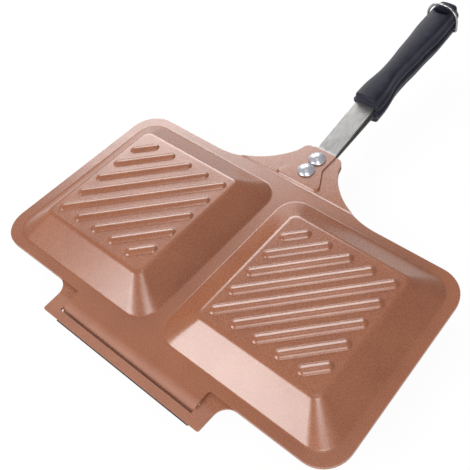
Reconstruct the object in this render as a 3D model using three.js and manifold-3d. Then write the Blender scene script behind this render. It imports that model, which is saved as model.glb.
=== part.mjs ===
// A hinged double pan for toasting sandwiches over a burner: two pressed pans that close on each other,
// each with its own flat steel strap and half of the handle, and a wire bail that locks the handle shut.
//
// Frame: millimetres, +X along the pair of cells, +Y from the hinge to the handle, +Z up. The origin is on
// the outer face of the lower pan's flange, in the middle of the strip between its two cells.

import * as THREE from "three";
import { mergeVertices } from "three/addons/utils/BufferGeometryUtils.js";
import Module from "manifold-3d";

const wasm = await Module();
wasm.setup();

// Sizes, in millimetres

// Sheet and fits
const sheet = 1.5; // thickness of both pressed pans
const seam_gap = 0.3; // between the two closed halves
const fit_gap = 0.3; // between pieces that are fixed together
const margin = 5; // how far a cutting shape runs past what it cuts

// Flange
const pan_width = 290;
const pan_depth = 150;
const pan_corner = 20;

// Cells, two in each pan, measured where the line of the wall meets the flange
const divider_width = 9.8;
const side_rim = 8.15;
const front_rim = 7;
const cell_height = 14.9;
const wall_slope_deg = 36.3;
const base_fillet = 2.5;
const shoulder_radius = 5.5;
const cell_corner = 15;
const panel_corner = 4.5;

// Ribs, raised out of each cell's flat panel along its diagonal
const rib_count = 9;
const rib_pitch = 11.83;
const rib_height = 1.7;
const rib_foot_half = 3.5;
const rib_top_half = 2.1;
const rib_edge_drop = 0.35;
const rib_edge_spread = 0.35;
const rib_margin = 2.97;

// Tongue at the back of each pan, which carries the strap
const tongue_reach = 41;
const tongue_root_half = 72;
const tongue_neck_half = 18.7;
const tongue_neck_reach = 32;
const tongue_tip_half = 16;
const tongue_corner = 5;

// Raised boss over the strap's end
const boss_inset = 5.5;
const boss_flank_run = 0.8;
const boss_root_run = 2.2;
const boss_root_half = 20;
const boss_root_corner = 3;
const boss_neck_reach = 18.2;
const boss_neck_radius = 6;

// Hinge at the front: a curled tab on the upper pan through a slot in the lower pan
const tab_half = 58;
const tab_root_radius = 1.5;
const tab_bend_inset = 7.6;
const tab_bend_radius = 6.5;
const hook_radius = 2.2;
const hook_rise = 1;
const bar_width = 5.4;
const slot_end_gap = 0.5;
const slot_inner_gap = 0.5;
const slot_corner = 1;
const ear_width = 10.2;
const ear_taper = 1;
const ear_root_radius = 9.5;
const ear_tip_radius = 1.5;
const bar_gap = 0.5;

// Straps
const strap_width = 16.6;
const strap_thickness = 2;
const strap_end_inset = 2.2;
const strap_end_corner = 3;
const strap_bend_radius = 20;
const strap_bend_gap = 2.5;
const tang_width = 11;
const tang_corner = 2;
const tang_depth = 70;
const tang_offset = 3;
const tang_taper_inset = 4;
const tang_taper_run = 6;
const tang_straight_lead = 3;

// Rivets, two through each tongue and strap
const rivet_spacing = 13.6;
const rivet_inset = 10;
const rivet_head_radius = 6.6;
const rivet_dome = 3.6;
const rivet_edge = 0.5;
const rivet_shank_radius = 2.5;
const rivet_tail_radius = 3.6;
const rivet_tail_depth = 1;

// Handle: two grip halves that lie together along a rising axis
const handle_tilt_deg = 6.3;
const handle_root_inset = 8;
const grip_start = 62;
const grip_length = 129;
const grip_height = 12.5;
const grip_crown = 0.3;
const grip_front_bevel = 1.2;
const grip_plan_shares = [0, 0.03, 0.125, 0.245, 0.366, 0.467, 0.584, 0.681, 0.759, 0.922];
const grip_plan_halves = [12, 12.2, 11.6, 8.8, 8.7, 9.8, 10.4, 11.6, 11.9, 11.5];
const section_width_shares = [0.86, 1, 0.985, 0.85, 0.79, 0.68, 0.42];
const section_height_shares = [0, 0.22, 0.36, 0.52, 0.82, 0.95, 1.01];
const nose_reach = 10;
const nose_half = 11.5;
const nose_turn_deg = 85;
const nose_width_power = 0.45;
const nose_height_power = 0.2;

// Hanging eye
const eye_half_width = 6.75;
const eye_half_length = 4.35;
const eye_inset = 13.5;

// Screws that hold the tangs in the grips
const screw_reach = 52;
const screw_head_radius = 3.3;
const screw_head_depth = 1.7;
const screw_shank_radius = 1.6;
const screw_length = 7;
const screw_recess_width = 0.9;
const screw_recess_length = 3.4;
const screw_recess_depth = 0.8;
const screw_sink = 0.4;

// Lock bail
const wire_radius = 1.1;
const bail_leg_half = 13.7;
const bail_height = 22.3;
const bail_corner = 13;
const bail_elbow = 2;
const pivot_inset = 13;
const pivot_drop = 5;
const pin_length = 5.2;
const pin_hole_gap = 0.2;

// Fineness of the round shapes, in steps
const corner_steps = 5;
const flare_steps = 10;
const fillet_steps = 3;
const rib_end_steps = 4;
const grip_steps = 15;
const nose_steps = 6;
const wire_sides = 8;
const round_sides = 20;

// Positions that follow from the sizes

const lift = seam_gap / 2;
const flange_top = lift + sheet;
const pan_back = pan_depth / 2;
const tongue_end = pan_back + tongue_reach;
const tongue_flare_radius =
  ((tongue_root_half - tongue_neck_half) ** 2 + tongue_neck_reach ** 2) / (2 * tongue_neck_reach);
const boss_bottom = lift + strap_thickness + fit_gap;
const boss_top = boss_bottom + sheet;
const boss_rise = boss_top - flange_top;
const boss_root = pan_back + boss_inset;
const boss_neck_half = strap_width / 2 + fit_gap + narrowing(boss_rise, boss_flank_run);
const cell_half_x = (pan_width / 2 - side_rim - divider_width / 2) / 2;
const cell_half_y = pan_depth / 2 - front_rim;
const cell_x = cell_half_x + divider_width / 2;
const wall_slope = THREE.MathUtils.degToRad(wall_slope_deg);
const panel_inset =
  cell_height / Math.tan(wall_slope) + shoulder_radius * Math.tan(wall_slope / 2);
const panel_top = flange_top + cell_height;
const rib_field_half = Math.min(cell_half_x, cell_half_y) - panel_inset - rib_margin;
const tab_bend_y = -pan_back - tab_bend_inset;
const tab_face_y = tab_bend_y - tab_bend_radius - sheet;
const bar_inner_y = tab_face_y - bar_gap;
const bar_outer_y = bar_inner_y - bar_width;
const slot_inner_y = tab_bend_y - slot_inner_gap;
const hook_y = tab_face_y - hook_radius;
const hook_z = flange_top - tab_bend_radius - sheet;
const handle_y = tongue_end - handle_root_inset;
const tilt = THREE.MathUtils.degToRad(handle_tilt_deg);
const rivet_ys = [tongue_end - rivet_inset, tongue_end - rivet_inset - rivet_spacing];
const screw_y = grip_start + screw_reach;
const pivot_y = grip_start + grip_length - pivot_inset;

// Helpers

// How much narrower a raised shape is on the underside of the sheet, where its side has a rise and a run.
function narrowing(rise, run) {
  return sheet * Math.tan(Math.atan2(rise, run) / 2);
}

// Turns a three.js geometry into a solid that can be joined and cut.
function solid(geometry) {
  const bare = geometry.clone();
  bare.deleteAttribute("normal");
  bare.deleteAttribute("uv");
  const merged = mergeVertices(bare, 1e-4);
  return new wasm.Manifold(
    new wasm.Mesh({
      numProp: 3,
      vertProperties: new Float32Array(merged.attributes.position.array),
      triVerts: new Uint32Array(merged.index.array),
    }),
  );
}

// Turns a solid back into a three.js geometry with flat faces.
function geometry_of(body) {
  const mesh = body.getMesh();
  const geometry = new THREE.BufferGeometry();
  geometry.setAttribute("position", new THREE.BufferAttribute(mesh.vertProperties, 3));
  geometry.setIndex(new THREE.BufferAttribute(mesh.triVerts, 1));
  const flat = geometry.toNonIndexed();
  flat.computeVertexNormals();
  return flat;
}

function add_all(first, others) {
  return others.reduce((sum, other) => sum.add(other), first);
}

function cut_all(first, others) {
  return others.reduce((rest, other) => rest.subtract(other), first);
}

// Rounds one corner of a path: the points of the arc between its two neighbours, with their normals.
function corner_arc(before, here, after, radius) {
  const back = before.clone().sub(here).normalize();
  const ahead = after.clone().sub(here).normalize();
  const half_angle = Math.acos(THREE.MathUtils.clamp(back.dot(ahead), -1, 1)) / 2;
  const middle = back.clone().add(ahead).normalize();
  const centre = here.clone().addScaledVector(middle, radius / Math.sin(half_angle));
  const start = here.clone().addScaledVector(back, radius / Math.tan(half_angle)).sub(centre);
  const turn = Math.sign(back.y * ahead.x - back.x * ahead.y);
  const sweep = turn * (Math.PI - 2 * half_angle);
  return Array.from({ length: corner_steps + 1 }, (_, i) => {
    const spoke = start.clone().rotateAround(new THREE.Vector2(), (sweep * i) / corner_steps);
    return { point: spoke.clone().add(centre), normal: spoke.multiplyScalar(-turn / radius) };
  });
}

// A closed outline through corners [x, y, radius], each rounded where it has a radius.
function outline(corners) {
  const at = (i) => new THREE.Vector2(...corners[(i + corners.length) % corners.length]);
  return corners.flatMap(([x, y, radius], i) =>
    radius
      ? corner_arc(at(i - 1), at(i), at(i + 1), radius).map((step) => step.point)
      : [new THREE.Vector2(x, y)],
  );
}

// An open path through corners [x, y, radius], as points with their left-hand normals.
function path(corners) {
  const at = (i) => new THREE.Vector2(corners[i][0], corners[i][1]);
  const steps = [];
  corners.forEach(([, , radius], i) => {
    if (radius) {
      steps.push(...corner_arc(at(i - 1), at(i), at(i + 1), radius));
      return;
    }
    const along = i === 0 ? at(1).sub(at(0)) : at(i).sub(at(i - 1));
    along.normalize();
    steps.push({ point: at(i), normal: new THREE.Vector2(-along.y, along.x) });
  });
  return steps;
}

// The closed outline of a bent strip whose middle follows a path.
function strip(corners, thickness) {
  const steps = path(corners);
  const side = (sign) =>
    steps.map(({ point, normal }) =>
      point.clone().addScaledVector(normal, (sign * thickness) / 2),
    );
  return [...side(-1), ...side(1).reverse()];
}

// Points on an arc, from one angle to another, as corners with no radius.
function arc(x, y, radius, from, to, steps) {
  return Array.from({ length: steps + 1 }, (_, i) => {
    const angle = from + ((to - from) * i) / steps;
    return [x + radius * Math.cos(angle), y + radius * Math.sin(angle)];
  });
}

// Completes a right-hand half outline, listed from front to back, with its mirror image.
function mirrored(half) {
  return [...half, ...half.map(([x, y, radius]) => [-x, y, radius]).reverse()];
}

// An outline in plan, extruded from one height to another.
function plate(points, bottom, top) {
  const shape = new THREE.Shape(points);
  const geometry = new THREE.ExtrudeGeometry(shape, { depth: top - bottom, bevelEnabled: false });
  return solid(geometry.translate(0, 0, bottom));
}

// A side outline in Y and Z, extruded evenly to both sides along X.
function rail(points, half_width) {
  const shape = new THREE.Shape(points);
  const options = { depth: 2 * half_width, bevelEnabled: false };
  const geometry = new THREE.ExtrudeGeometry(shape, options).translate(0, 0, -half_width);
  const axes = new THREE.Matrix4().makeBasis(
    new THREE.Vector3(0, 1, 0),
    new THREE.Vector3(0, 0, 1),
    new THREE.Vector3(1, 0, 0),
  );
  return solid(geometry.applyMatrix4(axes));
}

// A solid skinned over rings of equal numbers of points, closed by a fan at each end.
function loft(rings) {
  const count = rings[0].length;
  const centre = (ring) =>
    ring.reduce((sum, p) => sum.add(p), new THREE.Vector3()).divideScalar(count);
  const points = [...rings.flat(), centre(rings[0]), centre(rings.at(-1))];
  const faces = [];
  for (let j = 0; j < count; j++) {
    const k = (j + 1) % count;
    for (let i = 0; i + 1 < rings.length; i++) {
      const a = i * count;
      const b = a + count;
      faces.push(a + j, a + k, b + k, a + j, b + k, b + j);
    }
    const last = (rings.length - 1) * count;
    faces.push(points.length - 2, k, j, points.length - 1, last + j, last + k);
  }
  const geometry = new THREE.BufferGeometry().setFromPoints(points);
  geometry.setIndex(faces);
  return solid(geometry);
}

// An outline in plan as a ring at one height.
function ring_at(points, z) {
  return points.map((p) => new THREE.Vector3(p.x, p.y, z));
}

// A turned piece about the Z axis from a profile of [radius, height] that starts and ends on the axis.
function turned(profile, x, y) {
  const points = profile.map(([r, z]) => new THREE.Vector2(r, z));
  const geometry = new THREE.LatheGeometry(points, round_sides).rotateX(Math.PI / 2);
  return solid(geometry.translate(x, y, 0));
}

// Pans

// The outline of the tongue on the right, from the back edge to the middle of its end.
function tongue_half_outline() {
  const rise = Math.acos((tongue_root_half - tongue_neck_half) / tongue_flare_radius);
  const flare = arc(
    tongue_root_half,
    pan_back + tongue_flare_radius,
    tongue_flare_radius,
    -Math.PI / 2,
    -Math.PI + rise,
    flare_steps,
  );
  return [...flare, [tongue_tip_half, tongue_end, tongue_corner]];
}

// The flange's outline with the front that is given, from the middle of the front to the back.
function flange_outline(front) {
  const half = [
    ...front,
    [pan_width / 2, -pan_back, pan_corner],
    [pan_width / 2, pan_back, pan_corner],
    ...tongue_half_outline(),
  ];
  return outline(mirrored(half));
}

// The side view of the sheet, from its front, along the flange, to past the tongue's end.
function sheet_side(front) {
  return strip([...front, [tongue_end + margin, flange_top - sheet / 2, 0]], sheet);
}

// The outline of a cell at a distance in from where its wall meets the flange.
function cell_ring(x, inset, z) {
  const share = inset / panel_inset;
  const radius = cell_corner + (panel_corner - cell_corner) * share;
  const half_x = cell_half_x - inset;
  const half_y = cell_half_y - inset;
  const corners = [
    [x - half_x, -half_y, radius],
    [x + half_x, -half_y, radius],
    [x + half_x, half_y, radius],
    [x - half_x, half_y, radius],
  ];
  return ring_at(outline(corners), z);
}

// One cell as a solid up to the outer face of the sheet, or up to its inner face for the hollow. Both
// faces turn about the same two lines, so the sheet keeps its thickness round the bends.
function cell(x, depth) {
  const base_y = -base_fillet * Math.tan(wall_slope / 2);
  const rings = [];
  const start = depth ? -margin : flange_top - sheet / 2;
  rings.push(cell_ring(x, base_y, start));
  for (let i = 0; i <= fillet_steps; i++) {
    const angle = (wall_slope * i) / fillet_steps;
    const radius = base_fillet + depth;
    const inset = base_y + radius * Math.sin(angle);
    rings.push(cell_ring(x, inset, flange_top + base_fillet - radius * Math.cos(angle)));
  }
  for (let i = 0; i <= fillet_steps; i++) {
    const angle = wall_slope * (1 - i / fillet_steps);
    const radius = shoulder_radius - depth;
    const inset = panel_inset - radius * Math.sin(angle);
    rings.push(cell_ring(x, inset, panel_top - shoulder_radius + radius * Math.cos(angle)));
  }
  return loft(rings);
}

// The outline of one rib, or of the groove under it, as a long shape with round ends.
function rib_ring(x, offset, reach, half, z) {
  const turn = Math.PI / 4;
  const along = new THREE.Vector2(Math.cos(turn), Math.sin(turn));
  const across = new THREE.Vector2(-along.y, along.x);
  const middle = new THREE.Vector2(x, 0).addScaledVector(across, offset);
  return [1, -1].flatMap((sign) => {
    const centre = middle.clone().addScaledVector(along, sign * (reach - rib_foot_half));
    const start = turn + (sign > 0 ? -Math.PI / 2 : Math.PI / 2);
    return arc(centre.x, centre.y, half, start, start + Math.PI, rib_end_steps).map(
      ([px, py]) => new THREE.Vector3(px, py, z),
    );
  });
}

// Where the ribs of one cell lie: each one's distance from the diagonal and half its length.
function rib_rows() {
  return Array.from({ length: rib_count }, (_, i) => {
    const offset = (i - (rib_count - 1) / 2) * rib_pitch;
    return { offset, reach: rib_field_half * Math.SQRT2 - Math.abs(offset) };
  });
}

// The raised rib itself.
function rib(x, { offset, reach }) {
  const ring = (half, z) => rib_ring(x, offset, reach, half, z);
  return loft([
    ring(rib_foot_half, panel_top - sheet / 2),
    ring(rib_foot_half, panel_top),
    ring(rib_top_half + rib_edge_spread, panel_top + rib_height - rib_edge_drop),
    ring(rib_top_half, panel_top + rib_height),
  ]);
}

// The groove under a rib, which keeps the sheet's thickness.
function rib_groove(x, { offset, reach }) {
  const inset = narrowing(rib_height, rib_foot_half - rib_top_half);
  const ring = (half, z) => rib_ring(x, offset, reach, half - inset, z);
  return loft([
    ring(rib_foot_half, panel_top - sheet - margin),
    ring(rib_foot_half, panel_top - sheet),
    ring(rib_top_half, panel_top + rib_height - sheet),
  ]);
}

// The bell-shaped outline of the boss, grown evenly by one distance at the flanks and another at the root.
function boss_ring(flank, root, z) {
  const spread = (boss_root_half - boss_neck_half) / boss_neck_reach;
  const slant = Math.hypot(1, spread);
  const neck_y = boss_root + boss_neck_reach + (flank * (slant - 1)) / spread;
  const half = [
    [boss_root_half + flank * slant + root * spread, boss_root - root, boss_root_corner],
    [boss_neck_half + flank, neck_y, boss_neck_radius],
    [boss_neck_half + flank, tongue_end + 2 * margin, 0],
  ];
  return ring_at(outline(mirrored(half)), z);
}

// The boss over the strap's end, or with the sheet's thickness the hollow under it.
function boss(depth) {
  const flank_inset = depth ? narrowing(boss_rise, boss_flank_run) : 0;
  const root_inset = depth ? narrowing(boss_rise, boss_root_run) : 0;
  const foot = [boss_flank_run - flank_inset, boss_root_run - root_inset];
  const start = depth ? -margin : flange_top - sheet / 2;
  return loft([
    boss_ring(...foot, start),
    boss_ring(...foot, flange_top - depth),
    boss_ring(-flank_inset, -root_inset, boss_top - depth),
  ]);
}

// A pressed pan with the open side down: the flange, cells, ribs, tongue and boss that both pans share.
// The front of its outline and of its side view differ.
function pan(front_outline, front_side) {
  const prism = plate(flange_outline(front_outline), -pan_depth, pan_depth);
  const flat = rail(sheet_side(front_side), pan_width / 2 + margin);
  const cells_x = [-cell_x, cell_x];
  const holes = rivet_ys.map((y) => {
    const radius = rivet_shank_radius + fit_gap;
    const profile = [[0, 0], [radius, 0], [radius, boss_top + margin], [0, boss_top + margin]];
    return turned(profile, 0, y);
  });
  const formed = add_all(flat.add(boss(0)).intersect(prism), cells_x.map((x) => cell(x, 0)));
  const hollowed = cut_all(formed, [
    ...cells_x.map((x) => cell(x, sheet)),
    boss(sheet),
    ...holes,
  ]);
  const rows = cells_x.flatMap((x) => rib_rows().map((row) => [x, row]));
  const ribbed = add_all(hollowed, rows.map(([x, row]) => rib(x, row)));
  return cut_all(ribbed, rows.map(([x, row]) => rib_groove(x, row)));
}

// The upper pan's front runs into the tab, which bends down through the slot and curls under the bar.
function upper_pan() {
  const hook_middle = hook_radius + sheet / 2;
  const bend_middle = tab_bend_radius + sheet / 2;
  const front_outline = [
    [tab_half, hook_y - hook_radius - sheet - margin, 0],
    [tab_half, -pan_back, tab_root_radius],
  ];
  const front_side = [
    [hook_y - hook_middle, hook_z + hook_rise, 0],
    [hook_y - hook_middle, hook_z - hook_middle, hook_middle],
    [hook_y + hook_middle, hook_z - hook_middle, hook_middle],
    [hook_y + hook_middle, flange_top - sheet / 2, bend_middle],
  ];
  return pan(front_outline, front_side);
}

// The lower pan's front runs out into two ears and the bar that the tab hangs on.
function lower_pan() {
  const slot_half = tab_half + slot_end_gap;
  const ear_half = slot_half + ear_width;
  const front_outline = [
    [ear_half, bar_outer_y, ear_tip_radius],
    [ear_half + ear_taper, -pan_back, ear_root_radius],
  ];
  const front_side = [[bar_outer_y - margin, flange_top - sheet / 2, 0]];
  const slot = outline([
    [-slot_half, bar_inner_y, slot_corner],
    [slot_half, bar_inner_y, slot_corner],
    [slot_half, slot_inner_y, slot_corner],
    [-slot_half, slot_inner_y, slot_corner],
  ]);
  return pan(front_outline, front_side).subtract(plate(slot, -margin, flange_top + margin));
}

// Straps

// The plan of a strap with its tang, as seen along Z, in the distances of the part's Y axis. What a grip
// needs round it is wider by the gap.
function tang_outline(from, gap) {
  const taper_y = grip_start + tang_taper_inset;
  const half = [
    [strap_width / 2 + gap, from, 0],
    [strap_width / 2 + gap, taper_y, strap_end_corner],
    [tang_width / 2 + gap, taper_y + tang_taper_run, strap_end_corner],
    [tang_width / 2 + gap, grip_start + tang_depth + gap, tang_corner],
  ];
  return outline(mirrored(half));
}

// A place along the handle and across it, in the part's Y and Z.
function on_handle(along, across) {
  const y = handle_y + along * Math.cos(tilt) - across * Math.sin(tilt);
  return [y, along * Math.sin(tilt) + across * Math.cos(tilt)];
}

// A strap, flat under the tongue, rising to the handle and running on as the tang. The sign is 1 for
// the upper strap and -1 for the lower one.
function strap(sign) {
  const flat_z = sign * (lift + strap_thickness / 2);
  const offset = sign * tang_offset;
  const end = grip_start + tang_depth;
  const side = strip(
    [
      [boss_root + strap_end_inset, flat_z, 0],
      [tongue_end + strap_bend_gap, flat_z, strap_bend_radius],
      [...on_handle(grip_start - tang_straight_lead, offset), strap_bend_radius],
      [...on_handle(end, offset), 0],
    ],
    strap_thickness,
  );
  const near_end = boss_root + strap_end_inset;
  const back = outline([
    [strap_width / 2, near_end, strap_end_corner],
    [strap_width / 2, handle_y + grip_start, 0],
    [-strap_width / 2, handle_y + grip_start, 0],
    [-strap_width / 2, near_end, strap_end_corner],
  ]);
  const tang = plate(tang_outline(0, 0), -grip_length, grip_length)
    .rotate([handle_tilt_deg, 0, 0])
    .translate([0, handle_y, 0]);
  const blank = rail(side, strap_width / 2 + margin);
  const plan = plate(back, -grip_length, grip_length);
  const radius = rivet_shank_radius + fit_gap;
  const flare = rivet_tail_radius + fit_gap;
  const flat_top = lift + strap_thickness;
  const holes = rivet_ys.map((y) => {
    const profile = [
      [0, lift - margin],
      [flare, lift - margin],
      [flare, lift],
      [radius, lift + rivet_tail_depth],
      [radius, flat_top + margin],
      [0, flat_top + margin],
    ];
    const hole = turned(profile, 0, y);
    return sign > 0 ? hole : hole.rotate([0, 180, 0]);
  });
  const screw_hole = turned(
    [
      [0, -margin],
      [screw_head_radius + fit_gap, -margin],
      [screw_head_radius + fit_gap, grip_height],
      [0, grip_height],
    ],
    0,
    screw_y,
  );
  const turned_hole = (sign > 0 ? screw_hole : screw_hole.rotate([0, 180, 0]))
    .rotate([handle_tilt_deg, 0, 0])
    .translate([0, handle_y, 0]);
  return cut_all(blank.intersect(plan.add(tang)), [...holes, turned_hole]);
}

// Rivet through a tongue and a strap, with a domed head outside and a flush flared tail inside.
function rivet(y) {
  const head_z = boss_top + fit_gap;
  const crown = head_z + rivet_dome;
  const rise = rivet_dome - rivet_edge;
  const sphere = (rivet_head_radius ** 2 + rise ** 2) / (2 * rise);
  const dome = Array.from({ length: corner_steps + 1 }, (_, i) => {
    const r = rivet_head_radius * (1 - i / (corner_steps + 1));
    return [r, crown - sphere + Math.sqrt(sphere ** 2 - r ** 2)];
  });
  return turned(
    [
      [0, lift],
      [rivet_tail_radius, lift],
      [rivet_shank_radius, lift + rivet_tail_depth],
      [rivet_shank_radius, head_z],
      [rivet_head_radius, head_z],
      ...dome,
      [0, crown],
    ],
    0,
    y,
  );
}

// Grips, in the handle's frame: Y along the handle, Z across the parting face

// A cross-section of the grip at a place along it, with its half width and its height.
function grip_ring(y, half, height) {
  const right = section_width_shares.map((share, i) => [
    half * share,
    lift + (height - lift) * section_height_shares[i],
  ]);
  const crown = [0, height + (grip_crown * height) / grip_height];
  const left = right.map(([x, z]) => [-x, z]).reverse();
  return [...right, crown, ...left].map(([x, z]) => new THREE.Vector3(x, y, z));
}

// The whole grip body, from its front face to the round nose.
function grip_body() {
  const plan = new THREE.SplineCurve(
    grip_plan_shares.map((share, i) => new THREE.Vector2(share * grip_length, grip_plan_halves[i])),
  );
  const body = plan.getPoints(grip_steps).map((p) => grip_ring(grip_start + p.x, p.y, grip_height));
  const first = grip_plan_halves[0] - grip_front_bevel;
  body[0] = grip_ring(grip_start, first, grip_height - grip_front_bevel);
  const behind = grip_ring(grip_start + grip_front_bevel, grip_plan_halves[0], grip_height);
  body.splice(1, 0, behind);
  const turn = THREE.MathUtils.degToRad(nose_turn_deg);
  const nose = Array.from({ length: nose_steps }, (_, i) => {
    const angle = (turn * (i + 1)) / nose_steps;
    const back = nose_reach * (1 - Math.sin(angle) / Math.sin(turn));
    const half = nose_half * Math.cos(angle) ** nose_width_power;
    const rise = (grip_height - lift) * Math.cos(angle) ** nose_height_power;
    return grip_ring(grip_start + grip_length - back, half, lift + rise);
  });
  return loft([...body, ...nose].reverse());
}

// A grip half with its pocket for the tang, its screw hole and its share of the hanging eye.
function grip() {
  const half_pocket = strap_thickness / 2 + fit_gap;
  const pocket = plate(
    tang_outline(grip_start - margin, fit_gap),
    tang_offset - half_pocket,
    tang_offset + half_pocket,
  );
  const eye = new THREE.CylinderGeometry(1, 1, 4 * grip_height, round_sides)
    .rotateX(Math.PI / 2)
    .scale(eye_half_width, eye_half_length, 1)
    .translate(0, grip_start + grip_length - eye_inset, 0);
  const head = screw_head_radius + fit_gap;
  const shank = screw_shank_radius + fit_gap;
  const head_z = lift + screw_sink;
  const screw_hole = turned(
    [
      [0, -margin],
      [head, -margin],
      [head, head_z + fit_gap],
      [shank, head_z + screw_head_depth + fit_gap],
      [shank, head_z + screw_length + fit_gap],
      [0, head_z + screw_length + fit_gap],
    ],
    0,
    screw_y,
  );
  return cut_all(grip_body(), [pocket, solid(eye), screw_hole]);
}

// The lower grip also has two blind holes in its sides for the bail's pins.
function lower_grip() {
  const inner = bail_leg_half - pin_length - fit_gap;
  const depth = nose_half + margin - inner;
  const holes = [1, -1].map((side) => {
    const hole = new THREE.CylinderGeometry(
      wire_radius + pin_hole_gap,
      wire_radius + pin_hole_gap,
      depth,
      round_sides / 2,
    );
    hole.rotateZ(Math.PI / 2);
    return solid(hole.translate(side * (inner + depth / 2), pivot_y, pivot_drop));
  });
  return cut_all(grip(), holes);
}

// Countersunk screw in the parting face of a grip.
function grip_screw() {
  const head_z = lift + screw_sink;
  const body = turned(
    [
      [0, head_z],
      [screw_head_radius, head_z],
      [screw_shank_radius, head_z + screw_head_depth],
      [screw_shank_radius, head_z + screw_length],
      [0, head_z + screw_length],
    ],
    0,
    screw_y,
  );
  const bars = [0, Math.PI / 2].map((angle) => {
    const bar = new THREE.BoxGeometry(
      screw_recess_length,
      screw_recess_width,
      2 * screw_recess_depth,
    );
    return solid(bar.rotateZ(angle).translate(0, screw_y, head_z));
  });
  return cut_all(body, bars);
}

// Lock bail

// The bent wire in its own plane: X across the handle, Z up from the pivot pins to the crossing.
function bail() {
  const half = [
    [bail_leg_half - pin_length, 0, 0],
    [bail_leg_half, 0, bail_elbow],
    [bail_leg_half, bail_height, bail_corner],
  ];
  const rings = path(mirrored(half)).map(({ point, normal }) =>
    Array.from({ length: wire_sides }, (_, i) => {
      const angle = (2 * Math.PI * i) / wire_sides;
      const out = wire_radius * Math.cos(angle);
      return new THREE.Vector3(
        point.x + normal.x * out,
        wire_radius * Math.sin(angle),
        point.y + normal.y * out,
      );
    }),
  );
  return loft(rings.reverse());
}

// Assembly

const copper = { color: 0xa9735f, roughness: 0.42, metalness: 0.55 };
const steel = { color: 0xb9b8b6, roughness: 0.34, metalness: 0.9 };
const bright = { color: 0xdcdcda, roughness: 0.16, metalness: 1 };
const plastic = { color: 0x2f2f34, roughness: 0.5, metalness: 0 };

function piece(name, body, look) {
  const made = new THREE.Mesh(geometry_of(body), new THREE.MeshStandardMaterial(look));
  made.name = name;
  return made;
}

// Turns a piece over about the long axis of the part, so that it faces down.
function turned_over(mesh) {
  mesh.rotation.y = Math.PI;
  return mesh;
}

const iron = new THREE.Group();
iron.position.z = flange_top;
iron.add(piece("upper_pan", upper_pan(), copper));
iron.add(turned_over(piece("lower_pan", lower_pan(), copper)));
iron.add(piece("upper_strap", strap(1), steel));
iron.add(piece("lower_strap", strap(-1), steel));
rivet_ys.forEach((y, i) => {
  iron.add(piece(`upper_rivet_${i + 1}`, rivet(y), bright));
  iron.add(turned_over(piece(`lower_rivet_${i + 1}`, rivet(y), bright)));
});

const handle = new THREE.Group();
handle.position.y = handle_y;
handle.rotation.x = tilt;
handle.add(piece("upper_grip", grip(), plastic));
handle.add(turned_over(piece("lower_grip", lower_grip(), plastic)));
handle.add(piece("upper_grip_screw", grip_screw(), bright));
handle.add(turned_over(piece("lower_grip_screw", grip_screw(), bright)));

const lock = piece("lock_bail", bail(), bright);
lock.position.set(0, pivot_y, -pivot_drop);
handle.add(lock);
iron.add(handle);

const part = new THREE.Group();
part.add(iron);

export default part;
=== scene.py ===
import math

import bmesh
import bpy
import numpy as np
from mathutils import Matrix, Vector
from mathutils.geometry import delaunay_2d_cdt


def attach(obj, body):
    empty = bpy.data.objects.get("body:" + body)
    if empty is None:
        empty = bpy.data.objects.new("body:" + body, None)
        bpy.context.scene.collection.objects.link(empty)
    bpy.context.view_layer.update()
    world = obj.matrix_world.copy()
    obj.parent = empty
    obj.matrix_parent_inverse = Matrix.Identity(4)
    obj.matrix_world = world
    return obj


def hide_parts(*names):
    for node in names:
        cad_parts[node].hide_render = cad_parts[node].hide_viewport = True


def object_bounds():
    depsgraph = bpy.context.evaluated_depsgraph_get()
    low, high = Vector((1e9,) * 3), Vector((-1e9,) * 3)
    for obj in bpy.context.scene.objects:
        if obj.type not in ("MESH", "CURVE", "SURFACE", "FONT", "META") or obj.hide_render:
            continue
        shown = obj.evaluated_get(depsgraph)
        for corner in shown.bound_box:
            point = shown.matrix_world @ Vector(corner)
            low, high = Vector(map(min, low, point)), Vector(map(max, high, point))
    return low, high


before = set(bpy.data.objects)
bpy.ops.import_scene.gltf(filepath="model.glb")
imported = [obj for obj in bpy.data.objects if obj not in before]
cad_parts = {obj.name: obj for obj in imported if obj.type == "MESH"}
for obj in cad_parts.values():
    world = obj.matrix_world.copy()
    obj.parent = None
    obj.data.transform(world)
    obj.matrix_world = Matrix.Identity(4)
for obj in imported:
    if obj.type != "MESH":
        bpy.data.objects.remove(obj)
cad_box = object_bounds()

# Pressed pans. Each is a sheet of 1.5 mm with a copper-coloured coat, drawn in a press into two
# ribbed cells and a tongue. The upper one's front edge is bent down into the hinge tab and hooks
# round the lower one's bar, in front of its slot. Lengths of all pieces are in millimetres.
MM = 0.001
SHEET, SEAM = 1.5, 0.3
PAN_WIDTH, PAN_DEPTH, PAN_CORNER = 290, 150, 20
DIVIDER, SIDE_RIM, FRONT_RIM = 9.8, 8.15, 7
CELL_HEIGHT, WALL_SLOPE = 14.9, math.radians(36.3)
BASE_FILLET, SHOULDER, CELL_CORNER, PANEL_CORNER = 2.5, 5.5, 15, 4.5
RIB_COUNT, RIB_PITCH, RIB_FOOT, RIB_MARGIN = 9, 11.83, 3.5, 2.97
TONGUE_REACH, TONGUE_ROOT, TONGUE_NECK, TONGUE_NECK_REACH = 41, 72, 18.7, 32
TONGUE_TIP, TONGUE_CORNER = 16, 5
BOSS_INSET, BOSS_FLANK_RUN, BOSS_ROOT_RUN, BOSS_ROOT, BOSS_ROOT_CORNER = 5.5, 0.8, 1.2, 20, 3
BOSS_NECK_REACH, BOSS_NECK_RADIUS = 18.2, 6
STEP_INSET, STEP_RISE, STEP_RUN, ROUNDED = 3.2, 1.1, 1.1, 0.08
STRAP_WIDTH, STRAP, FIT_GAP = 16.6, 2, 0.3
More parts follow.
